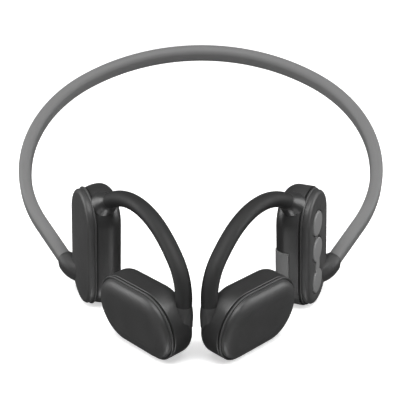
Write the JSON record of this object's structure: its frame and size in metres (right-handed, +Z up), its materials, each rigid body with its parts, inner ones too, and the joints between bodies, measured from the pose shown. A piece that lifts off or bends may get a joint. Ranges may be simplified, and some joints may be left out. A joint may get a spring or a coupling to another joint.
{
  "type": "bone conduction headphones",
  "caption": "Open-ear bone conduction headphones: grey neckband, upright pods behind the ears, over-ear hooks, oval cheek speakers, side buttons and a charge-port flap.",
  "frame": {"origin": "on the floor under the middle of the bounding box; the object stands on its two pods and two speakers", "axes": "+Z up, -Y towards the front of the wearer, the buttons are on the +X pod"},
  "size_m": [0.1262, 0.1454, 0.0668],
  "materials": {
    "band_silicone": "matte, mid grey",
    "spring_wire": "drawn wire",
    "cable_jacket": "extruded jacket",
    "copper": "enamelled copper",
    "boot_rubber": "matte",
    "cover_plastic": "soft-touch, fine grain",
    "shell_plastic": "soft-touch, fine grain",
    "seal_rubber": "matte",
    "hook_silicone": "matte",
    "pad_silicone": "matte",
    "driver_steel": "nickel plated",
    "screw_steel": "plain",
    "cell_foil": "laminated foil",
    "board_laminate": "solder mask",
    "chip_epoxy": "moulded",
    "switch_metal": "plated",
    "button_rubber": "matte, mid grey",
    "flap_rubber": "matte, grey"
  },
  "bodies": {
    "headset": {"neckband_sleeve": "band_silicone", "neckband_core": "spring_wire", "neckband_cable": "cable_jacket", "band_boot_left": "boot_rubber", "band_boot_right": "boot_rubber", "pod_cover_left": "cover_plastic", "pod_cover_right": "cover_plastic", "pod_shell_left": "shell_plastic", "pod_shell_right": "shell_plastic", "pod_seal_left": "seal_rubber", "pod_seal_right": "seal_rubber", "hook_sleeve_left": "hook_silicone", "hook_sleeve_right": "hook_silicone", "hook_core_left": "spring_wire", "hook_core_right": "spring_wire", "hook_cable_left": "cable_jacket", "hook_cable_right": "cable_jacket", "hook_boot_left": "boot_rubber", "hook_boot_right": "boot_rubber", "speaker_cover_left": "cover_plastic", "speaker_cover_right": "cover_plastic", "speaker_shell_left": "shell_plastic", "speaker_shell_right": "shell_plastic", "speaker_seal_left": "seal_rubber", "speaker_seal_right": "seal_rubber", "contact_pad_left": "pad_silicone", "contact_pad_right": "pad_silicone", "driver_yoke_left": "driver_steel", "driver_yoke_right": "driver_steel", "driver_magnet_left": "driver_steel", "driver_magnet_right": "driver_steel", "voice_coil_left": "copper", "voice_coil_right": "copper", "spring_plate_left": "driver_steel", "spring_plate_right": "driver_steel", "driver_screws": "screw_steel", "battery_cell": "cell_foil", "battery_board": "board_laminate", "main_board": "board_laminate", "radio_chip": "chip_epoxy", "board_screws": "screw_steel", "power_switch": "switch_metal", "volume_switches": "switch_metal", "rocker_pin": "screw_steel", "charge_port": "switch_metal"},
    "power_button": {"power_button": "button_rubber"},
    "volume_rocker": {"volume_rocker": "button_rubber"},
    "port_cover": {"port_cover": "flap_rubber"}
  },
  "joints": [
    {"name": "power_press", "type": "slide", "parent": "headset", "child": "power_button", "axis": [-0.9266, 0.3746, 0.0324], "range_m": [0, 0.0004], "stiffness_N_per_m": 1500},
    {"name": "volume_rock", "type": "hinge", "parent": "headset", "child": "volume_rocker", "pos_m": [0.03534, -0.02029, 0.01439], "axis": [-0.3748, -0.9131, -0.1607], "range_deg": [-2.5, 2.5], "stiffness_Nm_per_rad": 0.15},
    {"name": "port_flap", "type": "hinge", "parent": "headset", "child": "port_cover", "pos_m": [0.02572, -0.0263, 0.00936], "axis": [0.9266, -0.3746, -0.0324], "range_deg": [0, 100]}
  ]
}
